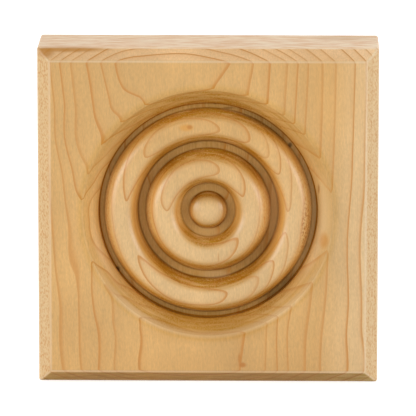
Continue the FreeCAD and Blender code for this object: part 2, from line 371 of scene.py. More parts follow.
normal = add(wood, "ShaderNodeSeparateXYZ", (seen["Normal"],)).outputs
facing = add(wood, "ShaderNodeMath", (normal["Y"], -1.0), operation="MULTIPLY")
end_cut = add(wood, "ShaderNodeMath", (normal["Z"],), operation="ABSOLUTE")
here = add(wood, "ShaderNodeSeparateXYZ", (spot,)).outputs
sunk = add(wood, "ShaderNodeMath", (here["Y"], -FACE), operation="ADD")
upright = add(wood, "ShaderNodeVectorMath", (spot, (1.0, 0.0, 1.0)), operation="MULTIPLY")
axis_reach = add(wood, "ShaderNodeVectorMath", (upright, (0.0, 0.0, ROSETTE_RISE)), operation="DISTANCE")
turn_radius = axis_reach.outputs["Value"]
within = add(wood, "ShaderNodeMapRange",
             {"Value": turn_radius, "From Min": RIM_RADIUS + RIM_EASE, "From Max": RIM_RADIUS})
outside = add(wood, "ShaderNodeMath", (1.0, within), operation="SUBTRACT")
in_rosette = add(wood, "ShaderNodeMapRange",
                 {"Value": sunk, "From Min": TURNED_DEPTH + 1.0, "From Max": TURNED_DEPTH})
below_face = add(wood, "ShaderNodeMapRange", {"Value": sunk, "From Min": 0.0, "From Max": RIM_EASE})
hollow = add(wood, "ShaderNodeMath", (within, below_face), operation="MULTIPLY")
carved = add(wood, "ShaderNodeMath", (hollow, in_rosette), operation="MULTIPLY")
level = add(wood, "ShaderNodeMapRange", {"Value": facing, "From Min": 0.7, "From Max": 1.0})
shallow = add(wood, "ShaderNodeMapRange",
              {"Value": sunk, "From Min": CREST_DEPTHS[0], "From Max": CREST_DEPTHS[1]})
raised = add(wood, "ShaderNodeMath", (level, shallow), operation="MULTIPLY")
crest = add(wood, "ShaderNodeMath", (raised, carved), operation="MULTIPLY")
deep = add(wood, "ShaderNodeMapRange",
           {"Value": sunk, "From Min": FLOOR_DEPTHS[0], "From Max": FLOOR_DEPTHS[1]})
groove = add(wood, "ShaderNodeMath", (deep, carved), operation="MULTIPLY")
print("crests above", CREST_DEPTHS, "mm, floors below", FLOOR_DEPTHS, "mm")

# %% [markdown]
# Real rings are neither evenly spaced nor quite round. A Float Curve turns the distance from the pith
# into an age in years, with one point for each ring. A slow noise, long along the grain, lets the rings
# wander, and a few swellings and hollows push them as knots and old wounds do in a trunk. Some of those
# reach further along the grain than across it. The fraction of the age is then the season: 0 in spring,
# 1 at the line that ends the year. Each ring has its own strength, because dry years end in a faint line;
# a strength of 0 is a year that ends unseen.

# %% Wood: growth rings
# Each ring: its distance from the pith and the strength of its line.
RINGS = (
    (50.0, 0.5), (56.0, 0.0), (60.4, 0.0), (62.2, 0.9), (64.0, 0.75), (65.9, 0.9), (68.1, 0.55), (69.6, 0.85),
    (71.2, 0.65), (73.8, 0.65), (76.1, 0.65), (77.9, 0.0), (79.6, 0.9), (82.0, 0.8), (84.3, 0.6), (86.9, 0.9),
    (89.0, 0.5), (91.8, 0.8), (94.1, 0.6), (96.9, 0.9), (99.0, 0.7), (102.0, 0.8), (105.0, 0.6), (108.0, 0.8),
)
WANDER = 0.45
WANDER_LENGTHS = (9.0, 9.0, 30.0)
# Each swelling: where it lies on the face, its reach across and along the grain, and its height.
SWELLINGS = (
    ((0.0, 37.0), (18.0, 18.0), 1.1),
    ((-20.0, 33.5), (8.0, 8.0), 0.8),
    ((-25.0, 42.0), (8.0, 8.0), -0.55),
    ((-27.0, 52.0), (13.0, 13.0), -0.8),
    ((-29.0, 25.0), (7.0, 9.0), 0.75),
    ((-25.0, 30.0), (5.0, 6.0), 0.5),
    ((-42.0, 24.0), (9.0, 12.0), -0.65),
    ((-34.0, 15.0), (6.0, 6.0), 0.5),
    ((-34.5, 4.0), (7.0, 7.0), 0.6),
    ((-35.5, -8.0), (8.0, 24.0), 1.05),
    ((-28.0, -24.0), (5.5, 9.0), 0.8),
    ((-31.0, -38.0), (8.5, 20.0), 0.85),
    ((-42.5, -14.0), (5.0, 16.0), -0.7),
    ((-23.0, -29.0), (6.0, 7.0), 0.6),
    ((-47.0, -38.0), (6.0, 22.0), -0.6),
    ((-40.0, -47.0), (24.0, 24.0), -0.75),
    ((-22.0, -35.0), (12.0, 12.0), 0.6),
    ((0.0, 1.2), (8.0, 8.0), 0.7),
    ((-13.5, -3.0), (8.5, 8.5), 0.4),
    ((25.5, -3.0), (7.0, 7.0), 0.4),
    ((-3.0, -38.0), (14.0, 14.0), 1.2),
    ((22.0, -33.0), (9.0, 18.0), 0.6),
    ((32.0, -40.0), (15.0, 32.0), 1.0),
    ((50.0, -45.0), (14.0, 14.0), -1.0),
    ((42.0, -8.0), (22.0, 22.0), 0.6),
)


def reach_from(place, centre, size):
    """How far a place is from a centre, where 1 is the edge of an oval of that size."""
    offset = add(wood, "ShaderNodeVectorMath", (place, centre), operation="SUBTRACT")
    scaled = add(wood, "ShaderNodeVectorMath", (offset, size), operation="DIVIDE")
    return add(wood, "ShaderNodeVectorMath", (scaled,), operation="LENGTH").outputs["Value"]


wander_at = add(wood, "ShaderNodeVectorMath", (bole, tuple(1 / length for length in WANDER_LENGTHS)),
                operation="MULTIPLY")
wander = add(wood, "ShaderNodeTexNoise",
             {"Vector": wander_at, "Scale": 1.0, "Detail": 3.0, "Roughness": 0.55})
swing = add(wood, "ShaderNodeMath", (wander, 0.5), operation="SUBTRACT")
radius = add(wood, "ShaderNodeMath", (swing, WANDER, distance), operation="MULTIPLY_ADD")
for (swell_x, swell_z), (reach_across, reach_along), height in SWELLINGS:
    away = reach_from(upright, (swell_x, 0.0, swell_z), (reach_across, 1.0, reach_along))
    swell = add(wood, "ShaderNodeMapRange",
                {"Value": away, "From Min": 1.0, "From Max": 0.0, "To Max": height},
                interpolation_type="SMOOTHSTEP")
    radius = add(wood, "ShaderNodeMath", (radius, swell), operation="ADD")

first_ring, last_ring = RINGS[0][0], RINGS[-1][0]
years = len(RINGS) - 1
span = add(wood, "ShaderNodeMapRange", {"Value": radius, "From Min": first_ring, "From Max": last_ring})
ages = add(wood, "ShaderNodeFloatCurve", {"Value": span})
strengths = add(wood, "ShaderNodeFloatCurve")
for year, (ring_radius, ring_strength) in enumerate(RINGS):
    if 0 < year < years:
        ages.mapping.curves[0].points.new((ring_radius - first_ring) / (last_ring - first_ring), year / years)
    if year > 0:
        strengths.mapping.curves[0].points.new((year - 0.5) / years, ring_strength)
for rule in (ages, strengths):
    for curve_point in rule.mapping.curves[0].points:
        curve_point.handle_type = "VECTOR"
    rule.mapping.update()
age = add(wood, "ShaderNodeMath", (ages, float(years)), operation="MULTIPLY")
season = add(wood, "ShaderNodeMath", (age,), operation="FRACT")
year_start = add(wood, "ShaderNodeMath", (age,), operation="FLOOR")
year_middle = add(wood, "ShaderNodeMath", (year_start, 0.5), operation="ADD")
year_share = add(wood, "ShaderNodeMath", (year_middle, float(years)), operation="DIVIDE")
wood.links.new(year_share.outputs[0], strengths.inputs["Value"])
print("growth rings:", years, "swellings:", len(SWELLINGS))

# %% [markdown]
# What shows of a ring is the thin brown line at the end of its year. A Color Ramp on the season draws it:
# nothing for most of the year, then a quick rise. Where the surface runs nearly along a ring, the line
# would spread into a wide band, so there only the last part of the season counts, which keeps the line
# thin. On turned end grain the line is fainter, because the cutter has rubbed over it.

# %% Wood: the line at each year's end
LINE_STOPS = ((0.0, 0.0), (0.3, 0.0), (0.78, 0.2), (0.9, 0.9), (0.96, 1.0), (1.0, 0.7))
NARROWEST = 0.2
FAINTEST = 0.65

outward = add(wood, "ShaderNodeVectorMath", (from_pith,), operation="NORMALIZE")
across_rings = add(wood, "ShaderNodeVectorMath", (seen["Normal"], outward), operation="DOT_PRODUCT")
along_rays = add(wood, "ShaderNodeMath", (across_rings.outputs["Value"],), operation="ABSOLUTE")
ring_angle = add(wood, "ShaderNodeMath", (along_rays,), operation="ARCCOSINE")
slant = add(wood, "ShaderNodeMath", (ring_angle,), operation="SINE")
narrow = add(wood, "ShaderNodeMapRange",
             {"Value": slant, "From Min": 0.0, "From Max": 0.5, "To Min": NARROWEST})
season_left = add(wood, "ShaderNodeMath", (1.0, season), operation="SUBTRACT")
spread = add(wood, "ShaderNodeMath", (season_left, narrow), operation="DIVIDE")
line_at = add(wood, "ShaderNodeMath", (1.0, spread), operation="SUBTRACT", use_clamp=True)
line = add(wood, "ShaderNodeValToRGB", {"Fac": line_at})
stops = line.color_ramp.elements
for stop, darkness in LINE_STOPS[1:-1]:
    stops.new(stop).color = (darkness, darkness, darkness, 1.0)
for element, (stop, darkness) in ((stops[0], LINE_STOPS[0]), (stops[-1], LINE_STOPS[-1])):
    element.position = stop
    element.color = (darkness, darkness, darkness, 1.0)
end_turned = add(wood, "ShaderNodeMath", (end_cut, within), operation="MULTIPLY")
faded = add(wood, "ShaderNodeMapRange",
            {"Value": end_turned, "From Min": 0.2, "From Max": 0.7, "To Min": 1.0, "To Max": FAINTEST})
kept_line = add(wood, "ShaderNodeMath", (line, faded), operation="MULTIPLY")
ring_line = add(wood, "ShaderNodeMath", (kept_line, strengths), operation="MULTIPLY")
print("ring line stops:", [round(element.position, 2) for element in stops])

# %% [markdown]
# Wood has texture at three scales: fibres that run along the trunk, pores between them, and a slow drift
# of tone. Each is a noise whose patches have a size in millimetres along each axis of the tree. Together
# they make one shade, a little above or below 1, that the growth's colour is multiplied by.

# %% Wood: fibres, pores and drift
# Each texture: the lengths of its patches along the tree's axes, its detail, roughness and contrast.
# Fibres and pores are a few hundredths of a millimetre wide, so both are drawn coarse enough to show.
TEXTURES = {
    "fibre": ((0.45, 0.45, 10.0), 4.0, 0.65, 0.055),
    "pore": ((0.4, 0.4, 1.2), 2.0, 0.5, 0.07),
    "drift": ((18.0, 18.0, 40.0), 2.0, 0.5, 0.11),
}

noises = {}
shade = 1.0
for texture, (lengths, detail, roughness, contrast) in TEXTURES.items():
    stretched = add(wood, "ShaderNodeVectorMath", (bole, tuple(1 / length for length in lengths)),
                    operation="MULTIPLY")
    noises[texture] = add(wood, "ShaderNodeTexNoise",
                          {"Vector": stretched, "Scale": 1.0, "Detail": detail, "Roughness": roughness})
    tone = add(wood, "ShaderNodeMapRange",
               {"Value": noises[texture], "From Min": 0.3, "From Max": 0.7,
                "To Min": 1.0 - contrast, "To Max": 1.0 + contrast})
    shade = add(wood, "ShaderNodeMath", (tone, shade), operation="MULTIPLY")
fibre = noises["fibre"]
pore = noises["pore"]
print("textures:", list(noises))

# %% [markdown]
# The colour of the growth itself is warmer towards the heart and paler towards the bark. The crests of the
# beads get a paler painted highlight on the lower half of the rosette, and the upper chamfer and top edge a
# paler painted highlight from above. The texture goes over that colour, and the ring lines over both.

# %% Wood: colour of the growth
HEARTWARD = linear("#D6A968")
BARKWARD = linear("#E9CDA0")
CREST_HIGHLIGHT = linear("#E6C694")
UPPER_HIGHLIGHT = linear("#F3C99B")
LINE_COLOUR = linear("#C88638")
SAPWOOD = (75.0, 87.0)

sapwood = add(wood, "ShaderNodeMapRange", {"Value": radius, "From Min": SAPWOOD[0], "From Max": SAPWOOD[1]})
growth = add(wood, "ShaderNodeMix", {"Factor": sapwood, "A": HEARTWARD, "B": BARKWARD}, data_type="RGBA")
# Painted highlight: the crests of the beads are paler on the lower half of the rosette.
crest_highlight_reach = add(wood, "ShaderNodeMapRange",
             {"Value": here["Z"], "From Min": 0.0, "From Max": 24.0, "To Min": 0.5, "To Max": 0.0})
crest_highlight_share = add(wood, "ShaderNodeMath", (crest, crest_highlight_reach), operation="MULTIPLY")
crest_lit = add(wood, "ShaderNodeMix", {"Factor": crest_highlight_share, "A": growth, "B": CREST_HIGHLIGHT}, data_type="RGBA")
# Painted highlight: outside the rosette, faces that look up, the upper chamfer and top edge, are paler.
upper = add(wood, "ShaderNodeMapRange",
            {"Value": normal["Z"], "From Min": 0.5, "From Max": 0.7, "To Max": 0.6})
upper_highlight_share = add(wood, "ShaderNodeMath", (upper, outside), operation="MULTIPLY")
paler = add(wood, "ShaderNodeMix", {"Factor": upper_highlight_share, "A": crest_lit, "B": UPPER_HIGHLIGHT},
            data_type="RGBA")
streaked = add(wood, "ShaderNodeVectorMath", {0: paler, "Scale": shade}, operation="SCALE")
ringed = add(wood, "ShaderNodeMix", {"Factor": ring_line, "A": streaked, "B": LINE_COLOUR}, data_type="RGBA")
print("tone changes", SAPWOOD, "mm from the pith")

# %% [markdown]
# How a surface is cut changes what it shows. Where it runs along the rays, as on the left and right
# chamfers, the wood is paler and speckled with flecks. Where it crosses the fibres, on the upper and
# lower edges, it is pale end grain with the faint marks of the saw. The lower chamfer, which faces down,
# is darkened with painted shade, in streaks that follow the saw marks.

# %% Wood: rays and end grain
RAY_PALE = linear("#DEBD88")
RAY_FLECK = linear("#C8863A")
RAY_STRENGTH = 0.75
END_PALE = linear("#FFE8C6")
END_BROWN = linear("#E2A05A")
END_STRENGTH = 0.68
UNDER_SHADE = linear("#C8BA70")
FLECK_LENGTHS = (0.38, 0.38, 0.75)
SAW_LENGTHS = (6.0, 1.4, 0.6)

ray_side = add(wood, "ShaderNodeMapRange", {"Value": along_rays, "From Min": 0.55, "From Max": 0.25})
not_end = add(wood, "ShaderNodeMapRange", {"Value": end_cut, "From Min": 0.5, "From Max": 0.3})
ray_cut = add(wood, "ShaderNodeMath", (ray_side, not_end), operation="MULTIPLY")
fleck_at = add(wood, "ShaderNodeVectorMath", (bole, tuple(1 / length for length in FLECK_LENGTHS)),
               operation="MULTIPLY")
fleck = add(wood, "ShaderNodeTexNoise", {"Vector": fleck_at, "Scale": 1.0, "Detail": 1.0})
fleck_share = add(wood, "ShaderNodeMapRange",
                  {"Value": fleck, "From Min": 0.48, "From Max": 0.66, "To Max": 0.9})
ray_colour = add(wood, "ShaderNodeMix", {"Factor": fleck_share, "A": RAY_PALE, "B": RAY_FLECK},
                 data_type="RGBA")
ray_share = add(wood, "ShaderNodeMath", (ray_cut, RAY_STRENGTH), operation="MULTIPLY")
rayed = add(wood, "ShaderNodeMix", {"Factor": ray_share, "A": ringed, "B": ray_colour}, data_type="RGBA")
saw_at = add(wood, "ShaderNodeVectorMath", (spot, tuple(1 / length for length in SAW_LENGTHS)),
             operation="MULTIPLY")
saw = add(wood, "ShaderNodeTexNoise", {"Vector": saw_at, "Scale": 1.0, "Detail": 3.0})
saw_share = add(wood, "ShaderNodeMapRange",
                {"Value": saw, "From Min": 0.38, "From Max": 0.62, "To Max": 0.75})
end_colour = add(wood, "ShaderNodeMix", {"Factor": saw_share, "A": END_PALE, "B": END_BROWN},
                 data_type="RGBA")
end_share = add(wood, "ShaderNodeMapRange",
                {"Value": end_cut, "From Min": 0.72, "From Max": 0.95, "To Max": END_STRENGTH})
sawn = add(wood, "ShaderNodeMix", {"Factor": end_share, "A": rayed, "B": end_colour}, data_type="RGBA")
# Painted shade: the lower chamfer, which faces down, is darkened in streaks.
under = add(wood, "ShaderNodeMapRange", {"Value": normal["Z"], "From Min": -0.5, "From Max": -0.7})
under_streak = add(wood, "ShaderNodeMapRange",
                   {"Value": saw, "From Min": 0.3, "From Max": 0.65, "To Min": 0.6, "To Max": 1.0})
under_edge = add(wood, "ShaderNodeMath", (under, outside), operation="MULTIPLY")
under_shade_share = add(wood, "ShaderNodeMath", (under_edge, under_streak), operation="MULTIPLY")
shaded = add(wood, "ShaderNodeMix", {"Factor": under_shade_share, "A": sawn, "B": UNDER_SHADE},
             data_type="RGBA", blend_type="MULTIPLY")
print("ray flecks", FLECK_LENGTHS, "mm, saw marks", SAW_LENGTHS, "mm")

# %% [markdown]
# The cutter that turns the rosette rubs as well as cuts. It browns the slopes where it crosses the end
# grain above and below the centre, in streaks that follow its circle and dark specks where the pores lie
# open, and painted shade deepens that brown the deeper the slope lies in the recess. The steep flanks of
# the beads get a faint golden painted shade all round. Both are Mix nodes in Multiply mode, so that the
# grain still shows through.

# %% Wood: browned and shaded slopes
END_BROWN_AND_SHADE = linear("#D2BA50")
FLANK_SHADE = linear("#FFF2D2")
CHATTER_LENGTHS = (0.5, 8.0, 60.0)
DEEPER_SHADE_RANGE = (0.35, 0.85)

crossing = add(wood, "ShaderNodeMapRange", {"Value": end_cut, "From Min": 0.28, "From Max": 0.75})
# Painted shade: the browning of the end grain grows with depth in the recess.
deeper_shade = add(wood, "ShaderNodeMapRange",
              {"Value": sunk, "From Min": 0.0, "From Max": DISH_DEPTH,
               "To Min": DEEPER_SHADE_RANGE[0], "To Max": DEEPER_SHADE_RANGE[1]})
chatter_at = add(wood, "ShaderNodeCombineXYZ", {"X": turn_radius, "Y": here["X"], "Z": here["Z"]})
chatter_scaled = add(wood, "ShaderNodeVectorMath",
                     (chatter_at, tuple(1 / length for length in CHATTER_LENGTHS)), operation="MULTIPLY")
chatter = add(wood, "ShaderNodeTexNoise", {"Vector": chatter_scaled, "Scale": 1.0, "Detail": 2.0})
chattered = add(wood, "ShaderNodeMapRange",
                {"Value": chatter, "From Min": 0.3, "From Max": 0.7, "To Min": 0.35, "To Max": 1.65})
open_pores = add(wood, "ShaderNodeMapRange",
                 {"Value": pore, "From Min": 0.35, "From Max": 0.65, "To Min": 0.5, "To Max": 1.5})
pressed = add(wood, "ShaderNodeMath", (crossing, deeper_shade), operation="MULTIPLY")
roughened = add(wood, "ShaderNodeMath", (pressed, open_pores), operation="MULTIPLY")
rubbed = add(wood, "ShaderNodeMath", (roughened, chattered), operation="MULTIPLY")
end_carved = add(wood, "ShaderNodeMath", (rubbed, carved), operation="MULTIPLY", use_clamp=True)
browned_and_shaded = add(wood, "ShaderNodeMix", {"Factor": end_carved, "A": shaded, "B": END_BROWN_AND_SHADE},
              data_type="RGBA", blend_type="MULTIPLY")
# Painted shade: the steep flanks of the beads are darkened to a golden tone.
steep = add(wood, "ShaderNodeMapRange", {"Value": facing, "From Min": 0.95, "From Max": 0.5})
on_beads = add(wood, "ShaderNodeMapRange",
               {"Value": turn_radius, "From Min": OUTER_FLOOR[1], "From Max": OUTER_FLOOR[0]})
bead_reach = add(wood, "ShaderNodeMath", (on_beads, carved), operation="MULTIPLY")
bead_side = add(wood, "ShaderNodeMath", (steep, bead_reach), operation="MULTIPLY")
flank_shaded = add(wood, "ShaderNodeMix", {"Factor": bead_side, "A": browned_and_shaded, "B": FLANK_SHADE},
             data_type="RGBA", blend_type="MULTIPLY")
print("cutter streaks", CHATTER_LENGTHS[0], "mm wide")

# %% [markdown]
# The floors of the three grooves are darkened to a dull brown, with the fibres showing across them:
# partly dust and burnish, partly painted shade at the bottom of the recesses. The darkening is stronger in
# the outer grooves than in the inner one, and weaker at the left and right sides. A thin dark line follows
# the edges of the floors: painted shade in the creases at the foot of the walls, with some scorching.

# %% Wood: groove floors
FLOOR_DUST_AND_SHADE = linear("#D3CAAE")
CREASE_SHADE = linear("#B4A284")
EDGE_WIDTH = 0.4
EDGE_CORE = 0.1
# Each floor edge: its radius and the strength of its line.
FLOOR_EDGES = (
    (INNER_FLOOR[0], 0.5),
    (INNER_FLOOR[1], 0.4),
    (MIDDLE_FLOOR[0], 0.5),
    (MIDDLE_FLOOR[1], 0.8),
    (OUTER_FLOOR[0], 0.5),
)


def gap_to(measure, mark):
    """How far a measure is from a mark, to either side of it."""
    difference = add(wood, "ShaderNodeMath", (measure, mark), operation="SUBTRACT")
    return add(wood, "ShaderNodeMath", (difference,), operation="ABSOLUTE")


hatch = add(wood, "ShaderNodeMapRange",
            {"Value": fibre, "From Min": 0.32, "From Max": 0.64, "To Min": 0.45, "To Max": 1.3})
outer_share = add(wood, "ShaderNodeMapRange",
                  {"Value": turn_radius, "From Min": 7.0, "From Max": 31.0, "To Min": 0.5, "To Max": 0.9})
beside = add(wood, "ShaderNodeMath", (here["X"],), operation="ABSOLUTE")
beside_share = add(wood, "ShaderNodeMapRange",
                   {"Value": beside, "From Min": 4.0, "From Max": 30.0, "To Min": 1.0, "To Max": 0.62})
shared = add(wood, "ShaderNodeMath", (outer_share, beside_share), operation="MULTIPLY")
hatched = add(wood, "ShaderNodeMath", (hatch, shared), operation="MULTIPLY")
# Partly dust and burnish, partly painted shade: the groove floors are darkened.
flat = add(wood, "ShaderNodeMapRange",
           {"Value": facing, "From Min": 0.93, "From Max": 0.995, "To Min": 0.4, "To Max": 1.0})
floor_level = add(wood, "ShaderNodeMath", (groove, flat), operation="MULTIPLY")
floor_share = add(wood, "ShaderNodeMath", (floor_level, hatched), operation="MULTIPLY", use_clamp=True)
floors_shaded = add(wood, "ShaderNodeMix", {"Factor": floor_share, "A": flank_shaded, "B": FLOOR_DUST_AND_SHADE},
              data_type="RGBA", blend_type="MULTIPLY")
# Painted shade in the creases along the floor edges, with some scorching.
for edge_radius, edge_strength in FLOOR_EDGES:
    edge_gap = gap_to(turn_radius, edge_radius)
    edge_close = add(wood, "ShaderNodeMapRange",
                     {"Value": edge_gap, "From Min": EDGE_WIDTH, "From Max": EDGE_CORE,
                      "To Max": edge_strength})
    crease_share = add(wood, "ShaderNodeMath", (edge_close, groove), operation="MULTIPLY")
    floors_shaded = add(wood, "ShaderNodeMix", {"Factor": crease_share, "A": floors_shaded, "B": CREASE_SHADE},
                  data_type="RGBA", blend_type="MULTIPLY")
print("floor edges:", len(FLOOR_EDGES))

# %% [markdown]
# Three more tints darken the rosette. The low wall outside the outer groove, where the cutter's corner
# ran, gets a dark line that is partly scorch and partly painted shade in the crease; the foot of the dish
# beside that wall gets a golden band of painted shade; and the shoulder of the button is browned with
# painted shade, most of all above its middle.

# %% Wood: scorched and shaded wall, shaded dish foot and button
SCORCH_AND_SHADE = linear("#D7B03F")
DISH_FOOT_SHADE = linear("#E4CC8C")
BUTTON_SHADE = linear("#D3C495")
WALL_RADIUS = OUTER_FLOOR[1] - 0.2

# Partly scorch, partly painted shade in the crease at the foot of the outer groove's outer wall.
wall_gap = gap_to(turn_radius, WALL_RADIUS)
wall_close = add(wood, "ShaderNodeMapRange",
                 {"Value": wall_gap, "From Min": EDGE_WIDTH, "From Max": EDGE_CORE})
wall = add(wood, "ShaderNodeMath", (wall_close, carved), operation="MULTIPLY")
scorched_and_shaded = add(wood, "ShaderNodeMix", {"Factor": wall, "A": floors_shaded, "B": SCORCH_AND_SHADE},
               data_type="RGBA", blend_type="MULTIPLY")
# Painted shade: a golden band darkens the foot of the dish beside that wall.
foot_near = add(wood, "ShaderNodeMapRange",
                {"Value": wall_gap, "From Min": 2.2, "From Max": 0.2, "To Max": 0.6})
on_dish = add(wood, "ShaderNodeMapRange",
              {"Value": sunk, "From Min": DISH_DEPTH + 0.2, "From Max": DISH_DEPTH})
dish_foot = add(wood, "ShaderNodeMath", (foot_near, on_dish), operation="MULTIPLY")
dish_share = add(wood, "ShaderNodeMath", (dish_foot, carved), operation="MULTIPLY")
dish_foot_shaded = add(wood, "ShaderNodeMix", {"Factor": dish_share, "A": scorched_and_shaded, "B": DISH_FOOT_SHADE},
             data_type="RGBA", blend_type="MULTIPLY")
# Painted shade: the shoulder of the button is browned, most above its middle.
button_round = add(wood, "ShaderNodeMapRange", {"Value": turn_radius, "From Min": 2.0, "From Max": 3.9})
button_end = add(wood, "ShaderNodeMapRange", {"Value": turn_radius, "From Min": 5.9, "From Max": 5.5})
button_band = add(wood, "ShaderNodeMath", (button_round, button_end), operation="MULTIPLY")
button_edge = add(wood, "ShaderNodeMath", (button_band, carved), operation="MULTIPLY")
button_top = add(wood, "ShaderNodeMapRange",
                 {"Value": here["Z"], "From Min": 1.5, "From Max": 5.5, "To Min": 0.25, "To Max": 0.75})
button_shade_share = add(wood, "ShaderNodeMath", (button_edge, button_top), operation="MULTIPLY")
turned_wood = add(wood, "ShaderNodeMix", {"Factor": button_shade_share, "A": dish_foot_shaded, "B": BUTTON_SHADE},
                  data_type="RGBA", blend_type="MULTIPLY")
print("scorched wall at radius", round(WALL_RADIUS, 2), "mm")

# %% [markdown]
# Every arris is a shade paler than the faces beside it, partly from sanding and partly as a painted highlight
# where the eased edge catches the light, and the eye reads those thin lines as crisp edges: where the face
# meets the chamfers, where the chamfers meet the edges, and along the mitres. The arrises at the sides are
# a little fainter. The lower half of the rosette's rim, whose eased edge faces up, gets a painted highlight
# too, in a wider and softer band.

# %% Wood: pale arrises
ARRIS_WEAR_AND_HIGHLIGHT = linear("#F2DDBC")
ARRIS_SHARE = 0.4
ARRIS_WIDTH = 0.5
ARRIS_CORE = 0.1
SIDE_ARRIS = 0.7
RIM_MIDDLE = RIM_RADIUS - 0.5

distances = add(wood, "ShaderNodeVectorMath", (spot,), operation="ABSOLUTE")
sides = add(wood, "ShaderNodeSeparateXYZ", (distances,)).outputs
squared = add(wood, "ShaderNodeMath", (sides["X"], sides["Z"]), operation="MAXIMUM")
face_gap = add(wood, "ShaderNodeMath", (squared, HALF - CHAMFER), operation="SUBTRACT")
face_off = add(wood, "ShaderNodeMath", (face_gap,), operation="ABSOLUTE")
face_arris = add(wood, "ShaderNodeMapRange",
                 {"Value": face_off, "From Min": ARRIS_WIDTH, "From Max": ARRIS_CORE})
edge_arris = add(wood, "ShaderNodeMapRange",
                 {"Value": gap_to(sunk, CHAMFER), "From Min": ARRIS_WIDTH, "From Max": ARRIS_CORE})
outermost = add(wood, "ShaderNodeMapRange",
                {"Value": squared, "From Min": HALF - 1.0, "From Max": HALF - 0.5})
edge_line = add(wood, "ShaderNodeMath", (edge_arris, outermost), operation="MULTIPLY")
mitre_gap = add(wood, "ShaderNodeMath", (sides["X"], sides["Z"]), operation="SUBTRACT")
mitre_off = add(wood, "ShaderNodeMath", (mitre_gap,), operation="ABSOLUTE")
mitre = add(wood, "ShaderNodeMapRange", {"Value": mitre_off, "From Min": 0.6, "From Max": ARRIS_CORE})
on_chamfer = add(wood, "ShaderNodeMapRange", {"Value": face_gap, "From Min": 0.0, "From Max": 0.3})
mitre_line = add(wood, "ShaderNodeMath", (mitre, on_chamfer), operation="MULTIPLY")
lines = add(wood, "ShaderNodeMath", (face_arris, edge_line), operation="MAXIMUM")
lines = add(wood, "ShaderNodeMath", (lines, mitre_line), operation="MAXIMUM")
in_front = add(wood, "ShaderNodeMapRange",
               {"Value": sunk, "From Min": CHAMFER + 1.0, "From Max": CHAMFER + 0.6})
lines = add(wood, "ShaderNodeMath", (lines, in_front), operation="MULTIPLY")
at_side = add(wood, "ShaderNodeMapRange",
              {"Value": mitre_gap, "From Min": -0.5, "From Max": 0.5, "To Min": 1.0, "To Max": SIDE_ARRIS})
lines = add(wood, "ShaderNodeMath", (lines, at_side), operation="MULTIPLY")
# Painted highlight: a pale band along the lower half of the rosette's rim.
rim_off = gap_to(turn_radius, RIM_MIDDLE)
rim_near = add(wood, "ShaderNodeMapRange", {"Value": rim_off, "From Min": 1.4, "From Max": 0.3})
rim_foot = add(wood, "ShaderNodeMapRange",
               {"Value": here["Z"], "From Min": -12.0, "From Max": -28.0, "To Max": 0.7})
rim_low = add(wood, "ShaderNodeMath", (rim_near, rim_foot), operation="MULTIPLY")
rim_top = add(wood, "ShaderNodeMapRange", {"Value": sunk, "From Min": 2.2, "From Max": 1.2})
rim_highlight = add(wood, "ShaderNodeMath", (rim_low, rim_top), operation="MULTIPLY")
lines = add(wood, "ShaderNodeMath", (lines, rim_highlight), operation="MAXIMUM")
# Partly sanding wear, partly painted highlight: the arrises are paler.
arris_share = add(wood, "ShaderNodeMath", (lines, ARRIS_SHARE), operation="MULTIPLY")
edged_and_lit = add(wood, "ShaderNodeMix", {"Factor": arris_share, "A": turned_wood, "B": ARRIS_WEAR_AND_HIGHLIGHT},
            data_type="RGBA")
print("arrises", ARRIS_WIDTH * 2, "mm wide")

# %% [markdown]
# Wood is never even, and this block has marks that the eye finds at once: a pin knot on the outer bead, a
# small swirl near the lower edge, scorched spots in the grooves, stains along the upper edge, and patches
# of the face, the dish and the floors that are paler or darker. Some patches are painted light: the right
# flank of the dish is painted paler, and the outer groove gets painted shade at the upper right, the lower
# right and low down. The lower dish is darker, partly browned end grain and partly painted shade. Each is
# a soft spot with its own place, size and colour, mixed over the rest in turn. On the right flank of the
# outer bead the fibres are torn, and the noise of the ray flecks is used again there for the small pits.

